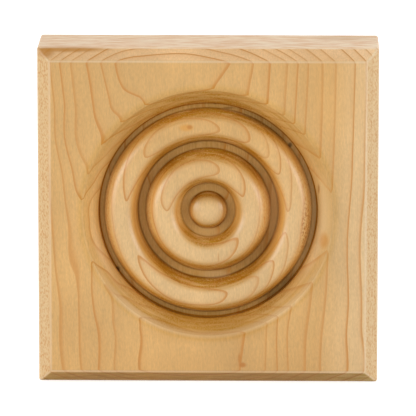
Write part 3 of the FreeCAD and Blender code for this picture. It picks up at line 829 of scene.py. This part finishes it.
# %% Wood: marks
# Each mark: its name, its place, its reach along each axis, its colour and its strength.
MARKS = (
    ("pin knot", (-6.4, -25.3, 26.9), (3.0, 3.0, 1.5), "#D8983E", 0.75),
    ("pin knot eye", (-5.4, -25.3, 27.1), (1.2, 3.0, 0.9), "#BC7626", 0.7),
    ("swirl", (10.4, -27.0, -44.9), (1.5, 1.5, 1.1), "#BA7220", 0.85),
    ("swirl tail", (9.5, -27.0, -43.0), (0.7, 1.5, 2.4), "#C07C2C", 0.7),
    ("lower face", (2.0, -27.0, -47.0), (34.0, 3.0, 10.0), "#B98C50", 0.16),
    ("upper right face", (38.0, -27.0, 38.0), (16.0, 3.0, 18.0), "#CC9A56", 0.22),
    # Painted light: the right flank of the dish is painted paler.
    ("right dish", (35.2, -24.5, 0.0), (3.2, 4.0, 24.0), "#EDC88E", 0.4),
    ("rubbed spot", (34.6, -25.0, -7.2), (2.6, 3.0, 3.4), "#CC8A38", 0.62),
    ("dish streak", (33.0, -23.0, 8.2), (0.45, 3.0, 2.2), "#9C6420", 0.7),
    ("left groove scorch", (-27.2, -20.9, -17.0), (1.0, 1.2, 1.2), "#4A2C10", 0.8),
    ("right groove scorch", (24.4, -20.9, 21.0), (0.9, 1.2, 1.1), "#4A2C10", 0.75),
    ("upper right groove shade", (17.0, -21.2, 28.0), (13.0, 2.1, 11.0), "#3E2408", 0.32),
    # Painted shade in the outer groove at the lower right.
    ("lower right groove shade", (20.5, -21.0, -21.5), (10.0, 2.2, 9.0), "#3E2408", 0.4),
    ("lower groove shade", (-6.0, -21.0, -29.0), (24.0, 2.2, 13.0), "#3E2408", 0.25),
    ("upper groove spot", (2.0, -22.0, 33.6), (0.9, 3.0, 0.6), "#6A4418", 0.6),
    ("upper groove streak", (6.0, -21.5, 32.2), (2.6, 3.0, 0.6), "#6A4418", 0.6),
    ("pale floor", (2.4, -19.8, -18.7), (5.6, 2.0, 1.7), "#CDAE80", 0.35),
    ("right floor", (19.8, -20.0, 1.0), (2.6, 2.4, 15.0), "#D3A66E", 0.4),
    ("button foot", (0.0, -20.5, -5.8), (6.0, 2.2, 2.6), "#DDB274", 0.35),
    ("bead line", (3.15, -25.4, -12.4), (0.35, 2.0, 2.2), "#C48842", 0.6),
    # Partly browned end grain, partly painted shade: the lower dish is darker.
    ("lower dish", (0.0, -24.5, -34.0), (30.0, 5.0, 7.0), "#B8822E", 0.42),
    ("corner stain", (-48.2, -24.8, 49.4), (3.6, 4.0, 2.2), "#B87C30", 0.7),
    ("chamfer stain", (-41.0, -24.0, 50.3), (15.0, 2.0, 1.3), "#B87C2C", 0.75),
    ("upper edge stain", (40.0, -5.0, 50.8), (12.0, 8.0, 2.0), "#CFA067", 0.45),
    ("back arris", (0.0, 0.4, 50.8), (80.0, 2.0, 1.5), "#BE8A50", 0.6),
)
TORN_PLACE = (29.5, -24.0, -4.5)
TORN_SIZE = (2.0, 4.0, 11.0)
TORN_COLOUR = linear("#AC6A1E")

coloured = edged_and_lit
for mark_name, mark_place, mark_size, mark_colour, mark_strength in MARKS:
    mark_share = add(wood, "ShaderNodeMapRange",
                     {"Value": reach_from(spot, mark_place, mark_size), "From Min": 1.0, "From Max": 0.3,
                      "To Max": mark_strength}, interpolation_type="SMOOTHSTEP")
    coloured = add(wood, "ShaderNodeMix", {"Factor": mark_share, "A": coloured, "B": linear(mark_colour)},
                   data_type="RGBA", label=mark_name)
torn_zone = add(wood, "ShaderNodeMapRange",
                {"Value": reach_from(spot, TORN_PLACE, TORN_SIZE), "From Min": 1.0, "From Max": 0.6})
pits = add(wood, "ShaderNodeMapRange", {"Value": fleck, "From Min": 0.48, "From Max": 0.57, "To Max": 0.85})
torn = add(wood, "ShaderNodeMath", (torn_zone, pits), operation="MULTIPLY")
coloured = add(wood, "ShaderNodeMix", {"Factor": torn, "A": coloured, "B": TORN_COLOUR}, data_type="RGBA")
print("marks:", len(MARKS))

# %% [markdown]
# Bare maple that was sanded fine has a soft sheen along its fibres and almost none where they are cut
# across. So one Principled shader takes the colour with a medium roughness, and its specular level falls
# where the surface is dull: on the groove floors, on end grain and along the rim. A faint bump from the
# fibres breaks up the sheen. That tells the eye that this is wood, and not plastic or varnish.

# %% Wood: the finished shader
WOOD_IOR = 1.5
WOOD_ROUGHNESS = 0.36
SHEEN = 0.6
DULL_SHEEN = 0.05
RELIEF = 0.03 * MM
RELIEF_STRENGTH = 0.35

end_dull = add(wood, "ShaderNodeMapRange",
               {"Value": end_cut, "From Min": 0.25, "From Max": 0.8, "To Max": 0.7})
sawn_dull = add(wood, "ShaderNodeMapRange", {"Value": end_cut, "From Min": 0.8, "From Max": 0.98})
rim_close = add(wood, "ShaderNodeMapRange", {"Value": rim_off, "From Min": 2.5, "From Max": 1.2})
rim_dull = add(wood, "ShaderNodeMath", (rim_close, in_rosette), operation="MULTIPLY")
dull = groove
for other_dull in (end_dull, sawn_dull, rim_dull):
    dull = add(wood, "ShaderNodeMath", (dull, other_dull), operation="MAXIMUM")
gloss = add(wood, "ShaderNodeMapRange", {"Value": dull, "To Min": SHEEN, "To Max": DULL_SHEEN})
relief = add(wood, "ShaderNodeBump", {"Strength": RELIEF_STRENGTH, "Distance": RELIEF, "Height": fibre})
shader = add(wood, "ShaderNodeBsdfPrincipled",
             {"Base Color": coloured, "Roughness": WOOD_ROUGHNESS, "IOR": WOOD_IOR,
              "Specular IOR Level": gloss, "Normal": relief})
add(wood, "ShaderNodeOutputMaterial", {"Surface": shader})
print("maple has", len(wood.nodes), "nodes")

# %% [markdown]
# With the tree and the wood ready, the section becomes a mesh, the modifier turns it into the block, and
# the result is kept as a plain mesh, so that nothing is left to evaluate.

# %% Turn the block
section_mesh = bpy.data.meshes.new("section")
section_places = [(reach * MM, (FACE + depth) * MM, s) for (reach, depth), s in zip(section, squareness)]
section_mesh.from_pydata(section_places, [], [])
draft_block = bpy.data.objects.new("section", section_mesh)
bpy.context.scene.collection.objects.link(draft_block)
modifier = draft_block.modifiers.new("turned block", "NODES")
modifier.node_group = turning
chosen = {
    "Columns": COLUMNS,
    "Rosette rise": ROSETTE_RISE * MM,
    "Corner radius": CORNER_RADIUS * MM,
    "Corner bunching": BUNCHING,
    "Wood": maple,
}
for item in turning.interface.items_tree:
    if item.in_out == "INPUT" and item.name in chosen:
        modifier[item.identifier] = chosen[item.name]
evaluated = draft_block.evaluated_get(bpy.context.evaluated_depsgraph_get())
block_mesh = bpy.data.meshes.new_from_object(evaluated)
bpy.data.objects.remove(draft_block)
block = bpy.data.objects.new("turned_rosette_block", block_mesh)
bpy.context.scene.collection.objects.link(block)
block_mesh.calc_loop_triangles()
print("block has", len(block_mesh.loop_triangles), "triangles,", len(block_mesh.vertices), "vertices")

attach(block, "root")
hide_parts("rosette_block")

# %% [markdown]
# The block stands on white paper. The floor is white to the camera, but greyer to the light that it throws
# back, so that the lower chamfer keeps its shade, and it still takes the block's soft shadow. A Light Path
# node tells the rays of the eye from those of the light.

# %% Floor
FLOOR_SIZE = 8.0
FLOOR_GREY = linear("#E6E6E6")
FLOOR_GLOW = 0.7

# Matt white paper: bright and even, without shine, so that only the soft shadow shows on it.
paper = bpy.data.materials.new("white studio paper")
paper.use_nodes = True
sheet = paper.node_tree
sheet.nodes.clear()
floor_path = add(sheet, "ShaderNodeLightPath").outputs
floor_seen = add(sheet, "ShaderNodeMath", (floor_path["Is Camera Ray"], floor_path["Is Glossy Ray"]),
                 operation="MAXIMUM")
floor_seen = add(sheet, "ShaderNodeMath", (floor_seen, floor_path["Is Transmission Ray"]),
                 operation="MAXIMUM")
glow = add(sheet, "ShaderNodeMath", (floor_seen, FLOOR_GLOW), operation="MULTIPLY")
matt = add(sheet, "ShaderNodeBsdfDiffuse", {"Color": FLOOR_GREY})
lit = add(sheet, "ShaderNodeEmission", {"Strength": glow})
both = add(sheet, "ShaderNodeAddShader", (matt, lit))
add(sheet, "ShaderNodeOutputMaterial", {"Surface": both})

half_floor = FLOOR_SIZE / 2
floor_corners = [(x * half_floor, y * half_floor, low.z) for x, y in ((-1, -1), (1, -1), (1, 1), (-1, 1))]
floor_mesh = bpy.data.meshes.new("floor")
floor_mesh.from_pydata(floor_corners, [], [(0, 1, 2, 3)])
floor_mesh.materials.append(paper)
floor = bpy.data.objects.new("floor", floor_mesh)
bpy.context.scene.collection.objects.link(floor)
print("floor at z", round(low.z, 4))

# %% [markdown]
# The picture was taken in soft light from all round. A bright world stands for the light tent, and the
# camera sees it as pure white. Two wide softboxes, to the left and the right in front, give the beads
# their pale flanks, and a weaker one above and behind lights the upper edge.

# %% Light
TENT_WHITE = linear("#FFFFFF")
TENT_LIGHT = 0.5
# Each softbox: its name, its place and side in metres, and its radiance.
LAMPS = (
    ("left softbox", (-1.3, -0.85, 0.1), 1.0, 5.5),
    ("right softbox", (1.35, -0.8, 0.02), 1.0, 5.35),
    ("top softbox", (0.0, 0.95, 0.8), 0.9, 1.7),
)

world = bpy.data.worlds.new("light tent")
bpy.context.scene.world = world
world.use_nodes = True
tent = world.node_tree
tent.nodes.clear()
tent_path = add(tent, "ShaderNodeLightPath").outputs
tent_seen = add(tent, "ShaderNodeMath", (tent_path["Is Camera Ray"], tent_path["Is Glossy Ray"]),
                operation="MAXIMUM")
tent_seen = add(tent, "ShaderNodeMath", (tent_seen, tent_path["Is Transmission Ray"]), operation="MAXIMUM")
brightness = add(tent, "ShaderNodeMapRange", {"Value": tent_seen, "To Min": TENT_LIGHT, "To Max": 1.0})
cloth = add(tent, "ShaderNodeBackground", {"Color": TENT_WHITE, "Strength": brightness})
add(tent, "ShaderNodeOutputWorld", {"Surface": cloth})

for lamp_name, lamp_place, lamp_side, radiance in LAMPS:
    lamp = bpy.data.lights.new(lamp_name, "AREA")
    lamp.size = lamp_side
    lamp.energy = radiance * math.pi * lamp_side ** 2
    lamp_object = bpy.data.objects.new(lamp_name, lamp)
    lamp_object.location = lamp_place
    lamp_object.rotation_euler = (-Vector(lamp_place)).to_track_quat("-Z", "Y").to_euler()
    bpy.context.scene.collection.objects.link(lamp_object)
    print(lamp_name, round(lamp.energy, 2), "W")

bpy.context.scene.view_settings.view_transform = "Standard"

# %% [markdown]
# Last, the script says that the scene is built.

# %% Finish
print("scene built")
